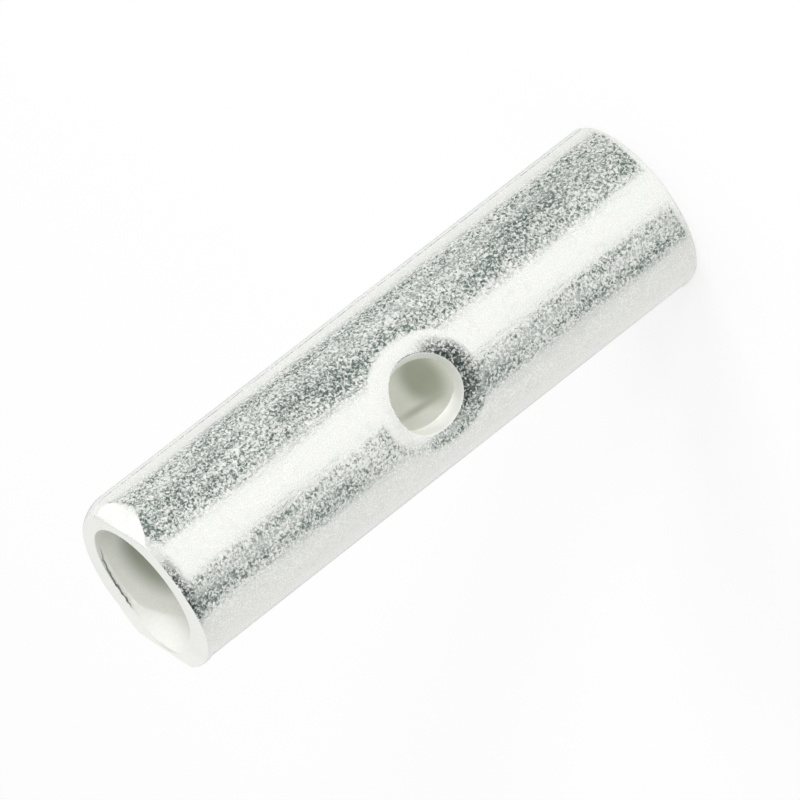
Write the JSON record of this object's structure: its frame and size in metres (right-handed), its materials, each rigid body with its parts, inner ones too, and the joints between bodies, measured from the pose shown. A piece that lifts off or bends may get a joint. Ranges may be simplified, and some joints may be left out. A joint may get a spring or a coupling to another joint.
{
  "type": "butt splice connector",
  "caption": "Bare tinned copper butt splice sleeve: a short rolled tube with a butted seam and a round inspection window, crimped over wires that meet end to end inside it.",
  "frame": {"origin": "on the bore's axis, at the lower end face that the sleeve stands on", "axes": "+Z along the bore's axis towards the upper end, -Y out of the inspection window, +X out of the seam"},
  "size_m": [0.0056, 0.0055, 0.0191],
  "materials": {
    "tin_plate": "bright speckled tin plate over copper"
  },
  "bodies": {
    "root": {"sleeve": "tin_plate"}
  },
  "joints": []
}
